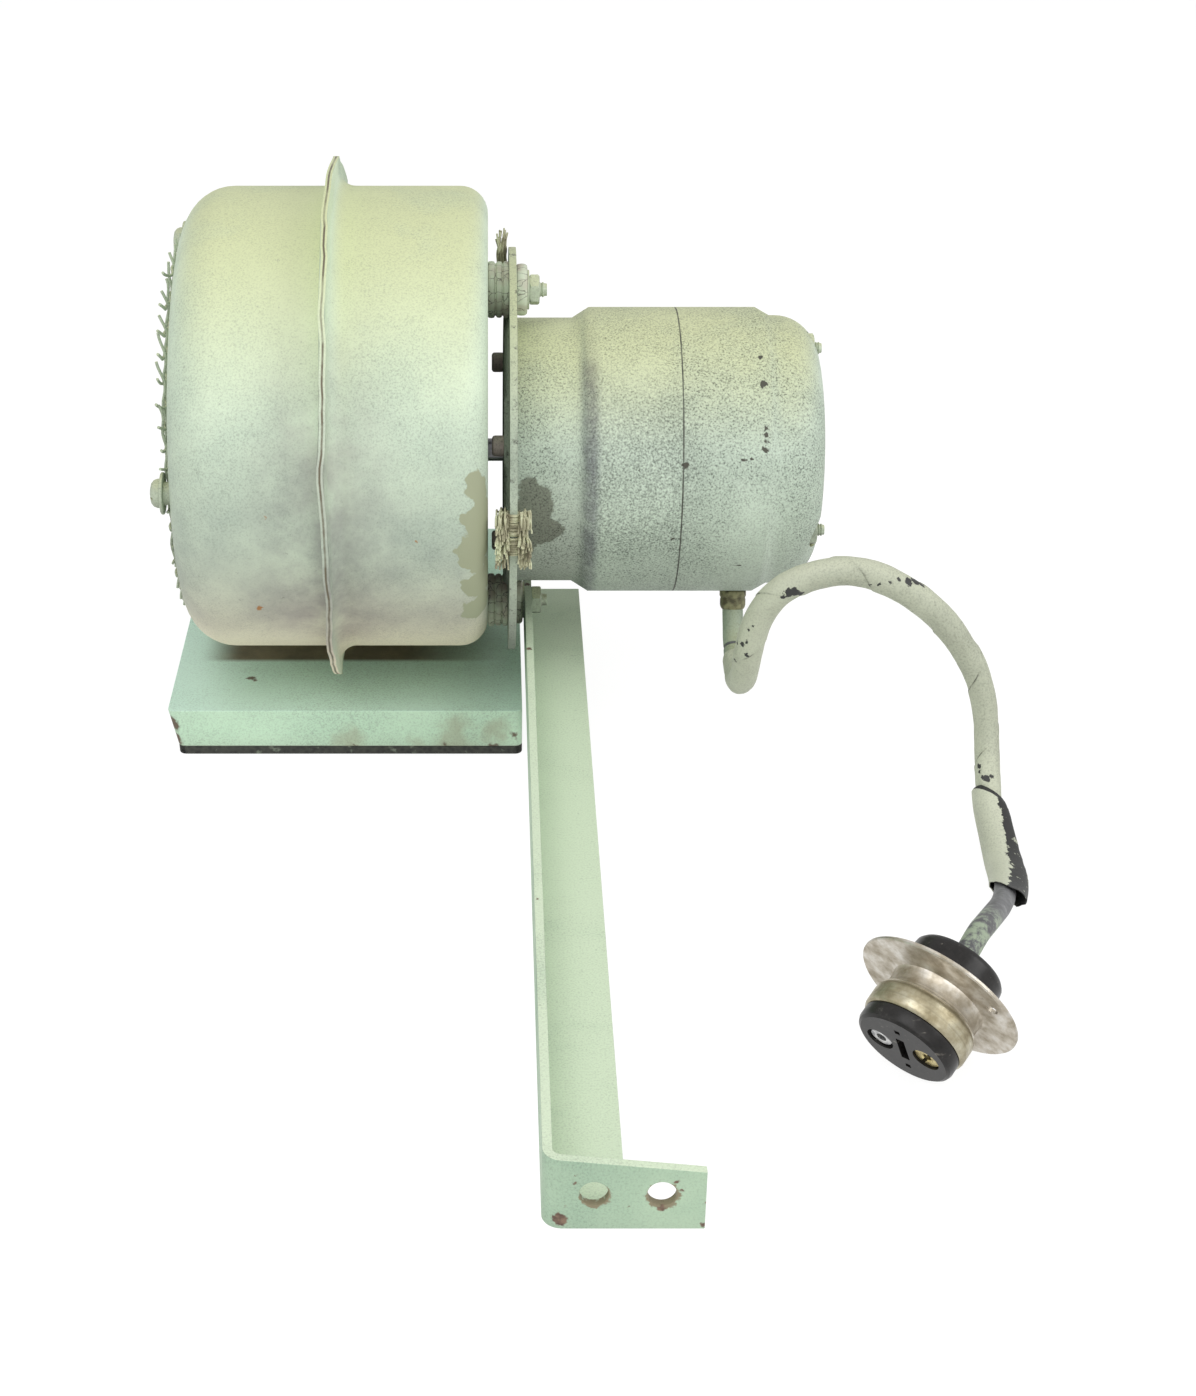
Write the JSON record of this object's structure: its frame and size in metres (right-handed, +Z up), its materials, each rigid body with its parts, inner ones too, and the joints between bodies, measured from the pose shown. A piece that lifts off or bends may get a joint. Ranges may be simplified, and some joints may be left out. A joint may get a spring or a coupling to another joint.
{
  "type": "centrifugal blower",
  "caption": "Centrifugal blower: scroll housing on a tray base, rubber-mounted electric motor, long angle bracket with a bolt-on foot, and a taped cord with a round connector.",
  "frame": {"origin": "on the base seat, under the shaft axis, in the middle plane of the motor plate", "axes": "+X along the shaft towards the motor, +Y away from the bracket's foot, +Z up from the base seat"},
  "size_m": [0.3426, 0.53, 0.2376],
  "materials": {
    "green_paint": "old brushed-on pale green paint, matt and dusty",
    "painted_wire": "painted woven wire",
    "painted_rubber": "rubber under cracked paint",
    "gasket": "dark cork-rubber strip",
    "sheet_metal": "dull zinc-plated sheet",
    "steel": "ground steel",
    "cast_aluminium": "cast rotor end rings",
    "copper_windings": "varnished copper wire",
    "braid": "frayed tinned braid under paint",
    "gland_rubber": "brown rubber grommet",
    "painted_cable": "rubber cable under paint",
    "painted_tape": "wound tape under cracked paint",
    "black_cable": "worn black rubber",
    "bare_aluminium": "spun aluminium, dulled",
    "black_phenolic": "moulded phenolic",
    "contact_metal": "plated contact metal"
  },
  "bodies": {
    "blower": {"housing_inlet_half": "green_paint", "housing_motor_half": "green_paint", "base_pan": "green_paint", "motor_front_frame": "green_paint", "motor_rear_frame": "green_paint", "motor_plate": "green_paint", "support_bracket": "green_paint", "guard_washers": "green_paint", "guard_screws": "green_paint", "plate_screws": "green_paint", "through_bolts": "green_paint", "through_bolt_nuts": "green_paint", "isolator_studs": "green_paint", "isolator_washers": "green_paint", "isolator_nuts": "green_paint", "inlet_guard": "painted_wire", "isolator_upper_bush": "painted_rubber", "isolator_upper_rubber": "painted_rubber", "isolator_lower_bush": "painted_rubber", "isolator_lower_rubber": "painted_rubber", "base_gasket": "gasket", "inlet_ring": "sheet_metal", "front_bearing": "steel", "rear_bearing": "steel", "stator_core": "steel", "stator_windings": "copper_windings", "bonding_braids": "braid", "cable_gland": "gland_rubber", "cord_lead": "painted_cable", "cord_taped": "painted_tape", "cord_tail": "black_cable", "connector_shell": "bare_aluminium", "connector_back_cap": "black_phenolic", "connector_insert": "black_phenolic", "connector_contacts": "contact_metal"},
    "rotor": {"motor_shaft": "steel", "rotor_core": "steel", "rotor_end_rings": "cast_aluminium", "impeller_hub": "sheet_metal", "hub_setscrew": "steel", "impeller_backplate": "sheet_metal", "impeller_blades": "sheet_metal", "impeller_front_ring": "sheet_metal"}
  },
  "joints": [
    {"name": "rotor_spin", "type": "hinge", "parent": "blower", "child": "rotor", "pos_m": [0, 0, 0.119], "axis": [1, 0, 0], "continuous": true}
  ]
}
